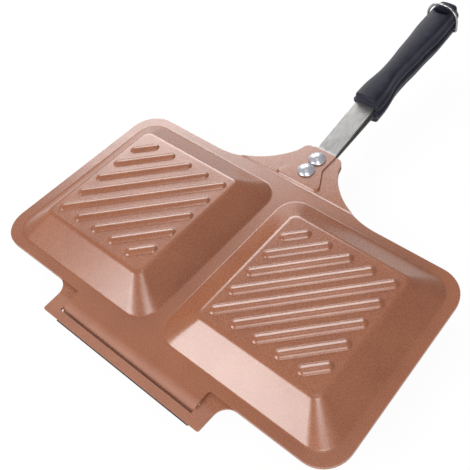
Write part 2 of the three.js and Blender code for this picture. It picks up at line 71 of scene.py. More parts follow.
TAB_HALF, TAB_INSET, TAB_RADIUS, HOOK_RADIUS, HOOK_RISE = 58.2, 7.6, 6.5, 2.2, 1
BAR, BAR_GAP, SLOT_END_GAP, SLOT_INNER_GAP, EAR, EAR_TAPER = 5.75, 0.15, 0.1, 0.5, 10.2, 1
TAB_CORNER, SLOT_CORNER, SLOT_BAR_CORNER, EAR_CORNER, EAR_COVE = 1.5, 1, 0.2, 1.5, 9.5
BEND_LEAD, PAST_END, BROKEN_EDGE, SHARP = 0.1, 10, 0.3, math.radians(38)
MERGED, FILL_MERGED, ON_LOOP, ON_FLAT, BOSS_SHARE_STEP = 1e-3, 1e-5, 0.02, 0.01, 0.002

lift = SEAM / 2
flange_top = lift + SHEET
pan_back = PAN_DEPTH / 2
tongue_end = pan_back + TONGUE_REACH
cell_half_x = (PAN_WIDTH / 2 - SIDE_RIM - DIVIDER / 2) / 2
cell_half_y = PAN_DEPTH / 2 - FRONT_RIM
cell_x = cell_half_x + DIVIDER / 2
panel_inset = CELL_HEIGHT / math.tan(WALL_SLOPE) + SHOULDER * math.tan(WALL_SLOPE / 2)
panel_top = flange_top + CELL_HEIGHT
tab_bend_y = -pan_back - TAB_INSET
tab_face_y = tab_bend_y - TAB_RADIUS - SHEET
bar_inner_y = tab_face_y - BAR_GAP
bar_outer_y = bar_inner_y - BAR
hook_y = tab_face_y - HOOK_RADIUS
hook_z = flange_top - TAB_RADIUS - SHEET
boss_root = pan_back + BOSS_INSET
boss_top = lift + STRAP + FIT_GAP + SHEET
boss_rise = boss_top - flange_top
boss_slope = math.atan2(boss_rise, BOSS_FLANK_RUN)
boss_neck = STRAP_WIDTH / 2 + FIT_GAP + SHEET * math.tan(boss_slope / 2)


def arc(x, y, radius, start, end, steps):
    """Points on an arc between two angles."""
    angles = np.linspace(start, end, steps + 1)
    return [(x + radius * math.cos(a), y + radius * math.sin(a)) for a in angles]


def rounded_corner(before, here, after, radius, steps):
    """Points of the arc that rounds one corner."""
    here = Vector(here[:2])
    back = (Vector(before[:2]) - here).normalized()
    ahead = (Vector(after[:2]) - here).normalized()
    half = back.angle(ahead) / 2
    centre = here + (back + ahead).normalized() * radius / math.sin(half)
    spoke = here + back * radius / math.tan(half) - centre
    turn = math.copysign(1, back.y * ahead.x - back.x * ahead.y)
    sweep = turn * (math.pi - 2 * half)
    return [tuple(centre + Matrix.Rotation(sweep * i / steps, 2) @ spoke) for i in range(steps + 1)]


def outline(corners, steps=8, closed=True):
    """Points through corners (x, y, radius), each rounded where it has a radius."""
    points = []
    for i, corner in enumerate(corners):
        if len(corner) > 2 and corner[2] and (closed or 0 < i < len(corners) - 1):
            after = corners[(i + 1) % len(corners)]
            points += rounded_corner(corners[i - 1], corner, after, corner[2], steps)
        else:
            points.append(tuple(corner[:2]))
    return points


def mirrored(half):
    """A right-hand half outline, front to back, completed with its mirror image."""
    return [tuple(c) for c in half] + [(-c[0], *c[1:]) for c in reversed(half)]


class Bend:
    """The side view of a bent sheet: places along its middle, with v equal to y on its flat."""

    def __init__(self, corners, flat_y, steps=8):
        self.yz = np.array(outline(corners, steps, closed=False))
        runs = np.linalg.norm(np.diff(self.yz, axis=0), axis=1)
        self.v = np.concatenate([[0], np.cumsum(runs)])
        along = np.gradient(self.yz, self.v, axis=0)
        along /= np.linalg.norm(along, axis=1)[:, None]
        self.across = np.stack([-along[:, 1], along[:, 0]], axis=1)
        on_flat = np.flatnonzero(self.yz[:, 0] >= flat_y - ON_FLAT)
        first = on_flat[np.argmin(self.yz[on_flat, 0])]
        self.v += self.yz[first, 0] - self.v[first]

    def v_of(self, y):
        keep = self.v >= self.yz[:, 0].min()
        return float(np.interp(y, self.yz[keep, 0], self.v[keep]))

    def at(self, v, offset):
        """The point at v, moved off the middle by offset."""
        p = [np.interp(v, self.v, column) for column in self.yz.T]
        n = [np.interp(v, self.v, column) for column in self.across.T]
        scale = offset / math.hypot(*n)
        return p[0] + n[0] * scale, p[1] + n[1] * scale


def inside(points, loop):
    """Which of the points lie inside a closed loop."""
    points, loop = np.asarray(points), np.asarray(loop)
    found = np.zeros(len(points), bool)
    for (x0, y0), (x1, y1) in zip(loop, np.roll(loop, -1, axis=0)):
        crosses = (y0 > points[:, 1]) != (y1 > points[:, 1])
        with np.errstate(divide="ignore", invalid="ignore"):
            found ^= crosses & (points[:, 0] < (x1 - x0) * (points[:, 1] - y0) / (y1 - y0) + x0)
    return found


def distance_to(point, loop):
    """How far a point lies from the nearest edge of a closed loop."""
    loop = np.asarray(loop)
    ends = np.roll(loop, -1, axis=0)
    edge = ends - loop
    share = np.clip(((point - loop) * edge).sum(1) / (edge**2).sum(1), 0, 1)
    return float(np.linalg.norm(loop + edge * share[:, None] - point, axis=1).min())


def flat_map(loops, lines=()):
    """Triangles that fill the first loop less the others, with edges along the lines too."""
    verts, edges = [], []
    for loop, closed in [*((loop, True) for loop in loops), *((line, False) for line in lines)]:
        first = len(verts)
        verts += [Vector(p) for p in loop]
        edges += [(first + i, first + i + 1) for i in range(len(loop) - 1)]
        if closed:
            edges.append((len(verts) - 1, first))
    verts, _, faces, *_ = delaunay_2d_cdt(verts, edges, [], 0, FILL_MERGED)
    verts = np.array([tuple(v) for v in verts])
    faces = np.array(faces)
    centres = verts[faces].mean(axis=1)
    keep = inside(centres, loops[0])
    for hole in loops[1:]:
        keep &= ~inside(centres, hole)
    return verts, faces[keep]


class Skin:
    """Points and faces of one piece."""

    def __init__(self):
        self.points, self.faces = [], []

    def put(self, points):
        first = len(self.points)
        self.points += [tuple(p) for p in points]
        return list(range(first, len(self.points)))

    def rings(self, rings):
        """Faces between each ring of points and the next."""
        ids = [self.put(ring) for ring in rings]
        for a, b in zip(ids, ids[1:]):
            for i in range(len(a)):
                j = (i + 1) % len(a)
                self.faces.append((a[i], a[j], b[j], b[i]))
        return ids

    def solid(self, rings):
        """Faces between the rings and across both ends."""
        ids = self.rings(rings)
        self.cap(ids[0])
        self.cap(ids[-1])

    def cap(self, ids):
        self.faces.append(tuple(ids))

    def fill(self, verts, faces, place):
        ids = self.put([place(v) for v in verts])
        self.faces += [tuple(ids[i] for i in face) for face in faces]
        return ids

    def build(self, name, matrix=Matrix()):
        """The piece as an object, its points merged and its faces turned outwards."""
        mesh = bpy.data.meshes.new(name)
        mesh.from_pydata(self.points, [], self.faces)
        made = bmesh.new()
        made.from_mesh(mesh)
        bmesh.ops.delete(made, geom=[v for v in made.verts if not v.link_faces], context="VERTS")
        bmesh.ops.remove_doubles(made, verts=made.verts, dist=MERGED)
        bmesh.ops.transform(made, matrix=Matrix.Scale(MM, 4) @ matrix, verts=made.verts)
        bmesh.ops.recalc_face_normals(made, faces=made.faces)
        made.to_mesh(mesh)
        made.free()
        mesh.shade_smooth()
        mesh.set_sharp_from_angle(angle=SHARP)
        piece = bpy.data.objects.new(name, mesh)
        bpy.context.scene.collection.objects.link(piece)
        return piece


def soften(piece, width, segments=2, angle=50):
    """Breaks a piece's sharp edges, as pressing or tumbling does."""
    bevel = piece.modifiers.new("broken edges", "BEVEL")
    bevel.width = width * MM
    bevel.segments = segments
    bevel.limit_method = "ANGLE"
    bevel.angle_limit = math.radians(angle)
    normals = piece.modifiers.new("even shading", "WEIGHTED_NORMAL")
    normals.keep_sharp = True
    normals.weight = 60


def bent_sheet(skin, bend, thickness, loops, lines=(), height=None, skipped=0):
    """Both faces and the rims of a sheet laid out flat in x and v. The last loops, as many as
    skipped, are left without a rim."""
    verts, faces = flat_map(loops, lines)

    def place(offset):
        def point(p):
            y, z = bend.at(p[1], offset)
            return p[0], y, z + (height(p[0], y) if height else 0)

        return point

    top = skin.fill(verts, faces, place(thickness / 2))
    bottom = skin.fill(verts, faces, place(-thickness / 2))
    count = {}
    for face in faces:
        for a, b in zip(face, np.roll(face, -1)):
            key = (min(a, b), max(a, b))
            count[key] = count.get(key, 0) + 1
    open_holes = loops[len(loops) - skipped :] if skipped else []
    for (a, b), times in count.items():
        if times != 1:
            continue
        middle = (verts[a] + verts[b]) / 2
        if any(distance_to(middle, hole) < ON_LOOP for hole in open_holes):
            continue
        skin.faces.append((top[a], top[b], bottom[b], bottom[a]))


def cell_loop(x, inset, steps=8):
    """The outline of a cell at a distance in from where its wall meets the flange."""
    radius = CELL_CORNER + (PANEL_CORNER - CELL_CORNER) * inset / panel_inset
    hx, hy = cell_half_x - inset, cell_half_y - inset
    corners = [(x - hx, -hy), (x + hx, -hy), (x + hx, hy), (x - hx, hy)]
    return outline([(*c, radius) for c in corners], steps)


def rib_loop(x, offset, reach, half, steps=8):
    """The outline of a rib, or of the groove under it, at one height."""
    turn = math.pi / 4
    along = Vector((math.cos(turn), math.sin(turn)))
    middle = Vector((x, 0)) + Vector((-along.y, along.x)) * offset
    points = []
    for sign in (1, -1):
        centre = middle + along * sign * (reach - RIB_FOOT)
        start = turn - sign * math.pi / 2
        points += arc(*centre, half, start, start + math.pi, steps)
    return points


# Half width and height of a rib's section from its foot to its crown, outside and inside.
RIB_PROFILE = [
    (3.95, 0), (3.72, 0.05), (3.5, 0.17), (3.3, 0.36), (3.0, 0.61), (2.6, 0.89), (2.3, 1.05),
    (1.9, 1.23), (1.4, 1.39), (0.9, 1.55), (0.5, 1.65), (0.2, 1.69),
]
GROOVE_PROFILE = [
    (3.1, 0), (2.85, 0.06), (2.6, 0.25), (2.0, 1.1), (1.7, 1.45), (1.3, 1.64), (0.9, 1.7),
]


def pressed_cell(skin, x, depth):
    """One face of a cell: its wall, its panel and its ribs, from the flange up."""
    base = -BASE_FILLET * math.tan(WALL_SLOPE / 2)
    rings = []
    for angle in np.linspace(0, WALL_SLOPE, 6):
        r = BASE_FILLET + depth
        z = flange_top + BASE_FILLET - r * math.cos(angle)
        rings.append([(*p, z) for p in cell_loop(x, base + r * math.sin(angle))])
    for angle in np.linspace(WALL_SLOPE, 0, 9):
        r = SHOULDER - depth
        z = panel_top - SHOULDER + r * math.cos(angle)
        rings.append([(*p, z) for p in cell_loop(x, panel_inset - r * math.sin(angle))])
    skin.rings(rings)
    field = (min(cell_half_x, cell_half_y) - panel_inset - RIB_MARGIN) * math.sqrt(2)
    profile = GROOVE_PROFILE if depth else RIB_PROFILE
    holes = []
    for i in range(RIB_COUNT):
        offset = (i - (RIB_COUNT - 1) / 2) * RIB_PITCH
        reach = field - abs(offset)
        loops = [rib_loop(x, offset, reach, half) for half, _ in profile]
        holes.append(loops[0])
        z0 = panel_top - depth
        ids = skin.rings([[(*p, z0 + z) for p in loop] for loop, (_, z) in zip(loops, profile)])
        skin.cap(ids[-1])
    verts, faces = flat_map([cell_loop(x, panel_inset), *holes])
    skin.fill(verts, faces, lambda p: (p[0], p[1], panel_top - depth))


def bell(share):
    """The outline of the boss over the strap's end, from its foot at 0 to its top at 1."""
    spread = (BOSS_ROOT - boss_neck) / BOSS_NECK_REACH
    slant = math.hypot(1, spread)
    flank, root = BOSS_FLANK_RUN * (1 - share), BOSS_ROOT_RUN * (1 - share)
    neck_y = boss_root + BOSS_NECK_REACH + flank * (slant - 1) / spread
    half = [
        (BOSS_ROOT + flank * slant + root * spread, boss_root - root, BOSS_ROOT_CORNER),
        (boss_neck + flank, neck_y, BOSS_NECK_RADIUS),
        (boss_neck + flank, tongue_end + PAST_END, 0),
    ]
    return outline(mirrored(half), steps=5)


def eased(share):
    """A share of a straight rise that is rounded at both ends."""
    share = min(1, max(0, share))
    if share > 0.5:
        return 1 - eased(1 - share)
    if share < ROUNDED:
        return share**2 / (2 * ROUNDED * (1 - ROUNDED))
    return (share - ROUNDED / 2) / (1 - ROUNDED)


def tongue_height(x, y):
    """How far the low step at the tongue's root and the boss raise the sheet at a place."""
    step = STEP_RISE * eased((y - pan_back - STEP_INSET) / STEP_RUN)
    if y < boss_root - BOSS_ROOT_RUN or not inside([(x, y)], bell(0))[0]:
        return step
    low, high = 0, 1
    if inside([(x, y)], bell(1))[0]:
        low = 1
    while high - low > BOSS_SHARE_STEP:
        middle = (low + high) / 2
        if inside([(x, y)], bell(middle))[0]:
            low = middle
        else:
            high = middle
    return step + (boss_rise - step) * eased(low)


def pressed_pan(name, matrix, front_side, front_outline, slot=()):
    """One pan. The front is given by its side view, and by its outline on the flat sheet."""
    end = tongue_end + PAST_END
    bend = Bend([*front_side, (end, flange_top - SHEET / 2)], end)
    narrowed = TONGUE_ROOT - TONGUE_NECK
    radius = (narrowed**2 + TONGUE_NECK_REACH**2) / (2 * TONGUE_NECK_REACH)
    rise = math.acos(narrowed / radius)
    flare = arc(TONGUE_ROOT, pan_back + radius, radius, -math.pi / 2, rise - math.pi, steps=24)
    half = [
        *front_outline(bend),
        (PAN_WIDTH / 2, -pan_back, PAN_CORNER),
        (PAN_WIDTH / 2, pan_back, PAN_CORNER),
        *((x, bend.v_of(y)) for x, y in flare),
        (TONGUE_TIP, bend.v_of(tongue_end), TONGUE_CORNER),
    ]
    edge = outline(mirrored(half), steps=10)
    lines = [[(-PAN_WIDTH, v), (PAN_WIDTH, v)] for v in bend.v[1:-1]]
    for share in np.linspace(0, 1, 9):
        ring = [(x, bend.v_of(min(y, tongue_end + PAST_END / 2))) for x, y in bell(share)]
        lines.append([*ring, ring[0]])
    for y in np.linspace(0, STEP_RUN, 6) + pan_back + STEP_INSET:
        lines.append([(-TONGUE_ROOT, bend.v_of(y)), (TONGUE_ROOT, bend.v_of(y))])
    base = -BASE_FILLET * math.tan(WALL_SLOPE / 2)
    holes = [cell_loop(-cell_x, base), cell_loop(cell_x, base)]
    skin = Skin()
    loops = [edge, *([slot] if slot else []), *holes]
    bent_sheet(skin, bend, SHEET, loops, lines, tongue_height, skipped=2)
    for x in (-cell_x, cell_x):
        for depth in (0, SHEET):
            pressed_cell(skin, x, depth)
    piece = skin.build(name, matrix)
    soften(piece, BROKEN_EDGE)
    return piece


tab_middle = TAB_RADIUS + SHEET / 2
hook_middle = HOOK_RADIUS + SHEET / 2
facing_up = Matrix.Translation((0, 0, flange_top))
facing_down = facing_up @ Matrix.Rotation(math.pi, 4, "Y")

upper_pan = pressed_pan(
    "upper_pan_pressing",
    facing_up,
    [
        (hook_y - hook_middle, hook_z + HOOK_RISE),
        (hook_y - hook_middle, hook_z - hook_middle, hook_middle),
        (hook_y + hook_middle, hook_z - hook_middle, hook_middle),
        (hook_y + hook_middle, flange_top - SHEET / 2, tab_middle),
        (tab_bend_y + BEND_LEAD, flange_top - SHEET / 2),
    ],
    lambda bend: [(TAB_HALF, bend.v[0]), (TAB_HALF, -pan_back, TAB_CORNER)],
)

slot_half = TAB_HALF + SLOT_END_GAP
ear_half = slot_half + EAR
slot_inner_y = tab_bend_y - SLOT_INNER_GAP
lower_pan = pressed_pan(
    "lower_pan_pressing",
    facing_down,
    [(bar_outer_y - PAST_END, flange_top - SHEET / 2)],
    lambda bend: [
        (ear_half, bar_outer_y, EAR_CORNER),
        (ear_half + EAR_TAPER, -pan_back, EAR_COVE),
    ],
    outline(
        [
            (-slot_half, bar_inner_y, SLOT_BAR_CORNER),
            (slot_half, bar_inner_y, SLOT_BAR_CORNER),
            (slot_half, slot_inner_y, SLOT_CORNER),
            (-slot_half, slot_inner_y, SLOT_CORNER),
        ],
        steps=5,
    ),
)


def linear(code):
    """A colour from its hex code, as the shader reads it."""
    parts = [int(code[i : i + 2], 16) / 255 for i in (0, 2, 4)]
    return tuple(p / 12.92 if p <= 0.04045 else ((p + 0.055) / 1.055) ** 2.4 for p in parts) + (1,)


class Value:
    """The output of a node. Those that are numbers take plain arithmetic."""

    def __init__(self, nodes, socket):
        self.nodes, self.socket = nodes, socket

    def __abs__(self):
        return self.nodes.maths("ABSOLUTE", self)

    def __add__(self, other):
        return self.nodes.maths("ADD", self, other)

    def __sub__(self, other):
        return self.nodes.maths("SUBTRACT", self, other)

    def __rsub__(self, other):
        return self.nodes.maths("SUBTRACT", other, self)

    def __mul__(self, other):
        return self.nodes.maths("MULTIPLY", self, other)

    __radd__ = __add__
    __rmul__ = __mul__


class Nodes:
    """The nodes of a material or of the world."""

    def __init__(self, tree):
        self.tree = tree

    def add(self, kind, settings=None, sockets=None, output=0):
        node = self.tree.nodes.new("ShaderNode" + kind)
        for key, value in (settings or {}).items():
            setattr(node, key, value)
        for key, value in (sockets or {}).items():
            self.put(node.inputs[key], value)
        return Value(self, node.outputs[output])

    def maths(self, operation, *values):
        return self.add("Math", {"operation": operation}, dict(enumerate(values)))

    def put(self, socket, value):
        if isinstance(value, Value):
            self.tree.links.new(value.socket, socket)
        else:
            socket.default_value = value


class Finish(Nodes):
    """A material: one Principled shader, and the nodes that vary it."""

    def __init__(self, name, **constants):
        self.material = bpy.data.materials.new(name)
        self.material.use_nodes = True
        super().__init__(self.material.node_tree)
        self.shader = self.tree.nodes["Principled BSDF"]
        self.set(**constants)

    def set(self, **sockets):
        for key, value in sockets.items():
            self.put(self.shader.inputs[key.replace("_", " ")], value)

    def place(self):
        return self.add("TexCoord", output="Object")

    def noise(self, scale, detail, rough, stretch=None):
        at = self.place()
        if stretch:
            at = self.add("Mapping", {}, {"Vector": at, "Scale": stretch})
        sockets = {"Vector": at, "Scale": scale, "Detail": detail, "Roughness": rough}
        return self.add("TexNoise", {}, sockets)

    def range(self, value, low, high, out_low, out_high):
        sockets = {"Value": value, 1: low, 2: high, 3: out_low, 4: out_high}
        return self.add("MapRange", {"clamp": True}, sockets)

    def blend(self, share, a, b):
        settings = {"data_type": "RGBA"}
        return self.add("Mix", settings, {0: share, 6: a, 7: b}, output=2)

    def bump(self, height, strength, distance, under=None):
        sockets = {"Height": height, "Strength": strength, "Distance": distance}
        if under:
            sockets["Normal"] = under
        return self.add("Bump", {}, sockets)

    def on(self, *pieces):
        for piece in pieces:
            if piece.data.materials:
                piece.data.materials[0] = self.material
            else:
                piece.data.materials.append(self.material)


coat = Finish("copper-coloured coat", Metallic=0.0, IOR=1.65)
speckle = coat.noise(1500, detail=2, rough=0.6)
cloud = coat.noise(38, detail=3, rough=0.55)
flake = coat.range(speckle, 0.42, 0.68, 0.0, 1.0)
drift = coat.range(cloud, 0.3, 0.7, 0.0, 1.0)
base = coat.blend(drift, linear("804A31"), linear("8A5439"))
base = coat.blend(flake * 0.35, base, linear("A8755B"))
# Painted shade: the hook's curl under the bar is coloured near black where the bar shades it.
# The coat is duller on the tab's bend, the ears and the bar.
HOOK_START, HOOK_DEPTH, HOOK_BLUR = tab_face_y - 1.9, -3.5, 1
WORN_START, WORN_BLUR, WORN = tab_bend_y - 1.9, 2.5, 0.32
along = coat.add("SeparateXYZ", {}, {"Vector": coat.place()}, output="Y")
up = coat.add("SeparateXYZ", {}, {"Vector": coat.place()}, output="Z")
under_bar = coat.range(along, HOOK_START * MM, (HOOK_START + HOOK_BLUR) * MM, 1, 0)
# Painted shade: near black on the hook's curl, below the bar and deep under it.
painted_hook_shade = under_bar * coat.range(up, HOOK_DEPTH * MM, (HOOK_DEPTH + HOOK_BLUR) * MM, 1, 0)
worn = coat.range(along, WORN_START * MM, (WORN_START + WORN_BLUR) * MM, WORN, 0)
coat.set(
    Base_Color=coat.blend(painted_hook_shade, base, linear("120F0E")),
    Roughness=0.27 + flake * 0.10 - drift * 0.03 + worn,
)
orange_peel = coat.bump(coat.noise(420, detail=2, rough=0.5), 0.12, 0.2 * MM)
coat.set(Normal=coat.bump(speckle, 0.16, 0.1 * MM, orange_peel))
coat.on(upper_pan, lower_pan)

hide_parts("upper_pan")
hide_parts("lower_pan")
for piece, body in ((upper_pan, "upper_half"), (lower_pan, "lower_half")):
    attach(piece, body)

# Straps. Each half of the handle hangs on a flat steel strap, cut from 2 mm strip and brushed along
# its length, with painted shade on its sideways-facing edges. It lies flat under the boss of its
# tongue, rises clear of the pan, and runs on as a narrower tang inside its grip.
STRAP_INSET, STRAP_CORNER, STRAP_BEND, STRAP_BEND_GAP, STRAP_EDGE = 2.2, 3, 20, 2.5, 0.35
TANG_CORNER = 2
TANG_WIDTH, TANG_DEPTH, TANG_OFFSET, TANG_TAPER_INSET, TANG_TAPER = 11, 70, 3, 4, 6
HANDLE_TILT, HANDLE_ROOT_INSET, GRIP_START, TANG_LEAD = math.radians(6.3), 8, 62, 3
handle_y = tongue_end - HANDLE_ROOT_INSET


def on_handle(along, across):
    """A place along the handle and across it, as y and z."""
    y = handle_y + along * math.cos(HANDLE_TILT) - across * math.sin(HANDLE_TILT)
    return y, along * math.sin(HANDLE_TILT) + across * math.cos(HANDLE_TILT)


def steel_strap(name, sign):
    """A strap above the parting plane, or below it where the sign is -1."""
    start = boss_root + STRAP_INSET
    flat_z = sign * (lift + STRAP / 2)
    side = [
        (start, flat_z),
        (tongue_end + STRAP_BEND_GAP, flat_z, STRAP_BEND),
        (*on_handle(GRIP_START - TANG_LEAD, sign * TANG_OFFSET), STRAP_BEND),
        on_handle(GRIP_START + TANG_DEPTH, sign * TANG_OFFSET),
    ]
    bend = Bend(side, start)
    taper = bend.v[-1] - TANG_DEPTH + TANG_TAPER_INSET
    half = [
        (STRAP_WIDTH / 2, start, STRAP_CORNER),
        (STRAP_WIDTH / 2, taper, STRAP_CORNER),
        (TANG_WIDTH / 2, taper + TANG_TAPER, STRAP_CORNER),
        (TANG_WIDTH / 2, bend.v[-1], TANG_CORNER),
    ]
    lines = [[(-STRAP_WIDTH, v), (STRAP_WIDTH, v)] for v in bend.v[1:-1]]
    skin = Skin()
    bent_sheet(skin, bend, STRAP, [outline(mirrored(half), steps=5)], lines)
    piece = skin.build(name, facing_up)
    soften(piece, STRAP_EDGE)
    return piece


upper_strap = steel_strap("upper_strap_strip", 1)
lower_strap = steel_strap("lower_strap_strip", -1)

brushed = Finish("brushed strap steel", Metallic=0.85, IOR=2.2)
hairs = brushed.noise(900, detail=3, rough=0.6, stretch=(1, 0.02, 1))
patches = brushed.noise(120, detail=2, rough=0.5, stretch=(1, 0.25, 1))
tone = brushed.range(hairs, 0.3, 0.7, 0.0, 1.0)
normal = brushed.add("TexCoord", output="Normal")
sideways = brushed.add("SeparateXYZ", {}, {"Vector": normal}, output="X")
# Painted shade: faces that turn sideways, the strap's cut edges, are coloured near black.
painted_side_shade = brushed.range(abs(sideways), 0.6, 0.9, 0, 1)
face = brushed.blend(tone, linear("949290"), linear("A8A6A4"))
brushed.set(
    Base_Color=brushed.blend(painted_side_shade, face, linear("1C1B1B")),
    Roughness=0.3 + tone * 0.12 + brushed.range(patches, 0.35, 0.65, 0.0, 0.06),
    Normal=brushed.bump(hairs, 0.18, 0.1 * MM),
)
brushed.on(upper_strap, lower_strap)
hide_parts("upper_strap")
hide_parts("lower_strap")
for piece, body in ((upper_strap, "upper_half"), (lower_strap, "lower_half")):
    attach(piece, body)

# Rivets. Two chrome-plated steel rivets clamp each tongue to its strap. Their domed heads stand on
# the boss, and their tails are spread flush in the strap's inner face.
RIVET_SPACING, RIVET_INSET, RIVET_HEAD, RIVET_DOME, RIVET_EDGE = 13.6, 10, 6.6, 3.6, 0.5
RIVET_SHANK, RIVET_TAIL, RIVET_TAIL_DEPTH = 2.5, 3.6, 1
RIVET_CHAMFER, RIVET_EASE, RIVET_ROUND, RIVET_CROWN = 0.2, 0.1, 0.15, 0.25
rivet_ys = [tongue_end - RIVET_INSET, tongue_end - RIVET_INSET - RIVET_SPACING]


def turned(skin, profile, y, sides=48):
    """Faces of a turned piece about a line along z, from (radius, z) places."""
    rings = []
    for radius, z in profile:
        angles = np.linspace(0, 2 * math.pi, sides, endpoint=False)
        rings.append([(radius * math.cos(a), y + radius * math.sin(a), z) for a in angles])
    skin.solid(rings)


def domed_rivet(name, y, matrix):
    """A rivet from its spread tail up through its shank to its head."""
    head = boss_top + FIT_GAP
    rise = RIVET_DOME - RIVET_EDGE
    ball = (RIVET_HEAD**2 + rise**2) / (2 * rise)
    dome = []
    for r in np.linspace(RIVET_HEAD - RIVET_ROUND, RIVET_CROWN, 14):
        dome.append((r, head + RIVET_DOME - ball + math.sqrt(ball**2 - r**2)))
    profile = [
        (RIVET_TAIL - RIVET_CHAMFER, lift),
        (RIVET_TAIL, lift + RIVET_EASE),
        (RIVET_SHANK, lift + RIVET_TAIL_DEPTH),
        (RIVET_SHANK, head),
        (RIVET_HEAD - RIVET_CHAMFER, head),
        (RIVET_HEAD, head + RIVET_ROUND),
        (RIVET_HEAD, head + RIVET_EDGE - RIVET_EASE),
        *dome,
    ]
    skin = Skin()
    turned(skin, profile, y)
    return skin.build(name, matrix)


plated = Finish("chrome plate", Metallic=0.6, IOR=2.0)
pits = plated.noise(700, detail=2, rough=0.5)
dull = plated.range(pits, 0.4, 0.7, 0, 0.35)
plated.set(
    Base_Color=plated.blend(dull, linear("C4C4CC"), linear("A9A8AE")),
    Roughness=plated.range(pits, 0.35, 0.7, 0.24, 0.32),
    Normal=plated.bump(plated.noise(160, detail=1, rough=0.4), 0.1, 0.2 * MM),
)
for side, matrix in (("upper", facing_up), ("lower", facing_down)):
    for i, y in enumerate(rivet_ys, start=1):
        rivet = domed_rivet(f"{side}_rivet_{i}_plated", y, matrix)
        plated.on(rivet)
        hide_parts(f"{side}_rivet_{i}")
        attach(rivet, f"{side}_half")

# Grips. The handle is two half grips of dark moulded plastic, one on each tang, that close on each
# other. Each has a flat back between two coved sides, a waist near the front and a round nose that
# the hanging eye goes through.
GRIP_LENGTH, GRIP_HEIGHT, NOSE, NOSE_HALF, NOSE_TURN = 129, 12.5, 10, 11.5, math.radians(85)
NOSE_WIDTH_POWER, NOSE_HEIGHT_POWER = 0.45, 0.2
# Half widths along the grip, then its section from the parting face to the middle of the back, in
# shares of half width and height, then how far the front end is drawn in, at places along it.
GRIP_PLAN = [
    (0, 12), (0.03, 12.2), (0.125, 11.6), (0.245, 8.8), (0.366, 8.7),
    (0.467, 9.8), (0.584, 10.4), (0.681, 11.6), (0.759, 11.9), (0.922, 11.5),
]
GRIP_SECTION = [
    (0.7, 0), (0.73, 0.05), (0.88, 0.13), (0.97, 0.18), (1, 0.23), (1, 0.3), (0.985, 0.36),
    (0.94, 0.42), (0.885, 0.48), (0.85, 0.53), (0.825, 0.62), (0.81, 0.72), (0.79, 0.82),
    (0.77, 0.885), (0.73, 0.93), (0.67, 0.965), (0.56, 0.99), (0.42, 1.01), (0.2, 1.02),
    (0, 1.024),
]
GRIP_FRONT = [(1.5, 0), (1.2, 0.12), (0.7, 0.5), (0.25, 0.95), (0, 1.4)]
EYE_HALF_WIDTH, EYE_HALF_LENGTH, EYE_INSET = 6.75, 4.35, 13.5
# The eye's rim: height from the grip's back, and how much wider than the eye.
EYE_RIM = [(-1.3, 1.0), (-0.6, 1.03), (-0.1, 1.1), (1, 1.3)]
on_tang = facing_up @ Matrix.Translation((0, handle_y, 0)) @ Matrix.Rotation(HANDLE_TILT, 4, "X")
under_tang = on_tang @ Matrix.Rotation(math.pi, 4, "Y")


def grip_ring(y, half, height):
    """The section of a grip at a place along it."""
    right = [(half * w, lift + (height - lift) * h) for w, h in GRIP_SECTION]
    return [(x, y, z) for x, z in right] + [(-x, y, z) for x, z in reversed(right[:-1])]


def smooth_through(places, count):
    """Evenly spaced points on a smooth curve through the places."""
    p = np.array(places, float)
    p = np.vstack([2 * p[0] - p[1], p, 2 * p[-1] - p[-2]])
    out = []
    for t in np.linspace(0, len(places) - 1, count):
        i = min(int(t), len(places) - 2)
        u = t - i
        a, b, c, d = p[i : i + 4]
        start, turn, twist = c - a, 2 * a - 5 * b + 4 * c - d, 3 * b - a - 3 * c + d
        out.append(b + (start * u + turn * u**2 + twist * u**3) / 2)
    return out


def moulded_grip(name, matrix):
    skin = Skin()
    first = GRIP_PLAN[0][1]
    rings = []
    for inset, y in GRIP_FRONT:
        rings.append(grip_ring(GRIP_START + y, first - inset, GRIP_HEIGHT - inset))
    for share, half in smooth_through(GRIP_PLAN, 46):
        if share * GRIP_LENGTH > GRIP_FRONT[-1][1]:
            rings.append(grip_ring(GRIP_START + share * GRIP_LENGTH, half, GRIP_HEIGHT))
    for angle in np.linspace(0, NOSE_TURN, 18)[1:]:
        back = NOSE * (1 - math.sin(angle) / math.sin(NOSE_TURN))
        half = NOSE_HALF * math.cos(angle) ** NOSE_WIDTH_POWER
        height = lift + (GRIP_HEIGHT - lift) * math.cos(angle) ** NOSE_HEIGHT_POWER
        rings.append(grip_ring(GRIP_START + GRIP_LENGTH - back, half, height))
    skin.solid(rings)
    return skin.build(name, matrix)


def punch(piece, cutters):
    """Cuts holes in a piece, and leaves the cutters out of the scene."""
    for cutter in cutters:
        cut = piece.modifiers.new("hole", "BOOLEAN")
        cut.operation, cut.solver, cut.object = "DIFFERENCE", "EXACT", cutter
    bpy.context.view_layer.update()
    shaped = piece.evaluated_get(bpy.context.evaluated_depsgraph_get())
    mesh = bpy.data.meshes.new_from_object(shaped)
    piece.modifiers.clear()
    piece.data = mesh
    made = bmesh.new()
    made.from_mesh(mesh)
    bmesh.ops.triangulate(made, faces=[f for f in made.faces if len(f.verts) > 4])
    bmesh.ops.dissolve_degenerate(made, dist=1e-6, edges=made.edges)
    made.to_mesh(mesh)
    made.free()
    mesh.set_sharp_from_angle(angle=SHARP)
    for cutter in cutters:
        bpy.data.objects.remove(cutter)


def eye_cutter(matrix):
    """The oval bar that leaves the hanging eye with a rounded rim."""
    skin = Skin()
    centre = GRIP_START + GRIP_LENGTH - EYE_INSET
    rings = []
    for z, wide in [(-2 * GRIP_HEIGHT, 1.0), *EYE_RIM]:
        half_x, half_y = EYE_HALF_WIDTH * wide, EYE_HALF_LENGTH * wide
        angles = np.linspace(0, 2 * math.pi, 40, endpoint=False)
        around = [(half_x * math.cos(a), centre + half_y * math.sin(a)) for a in angles]
        rings.append([(x, y, GRIP_HEIGHT + z) for x, y in around])
    skin.solid(rings)
    return skin.build("eye_cutter", matrix)


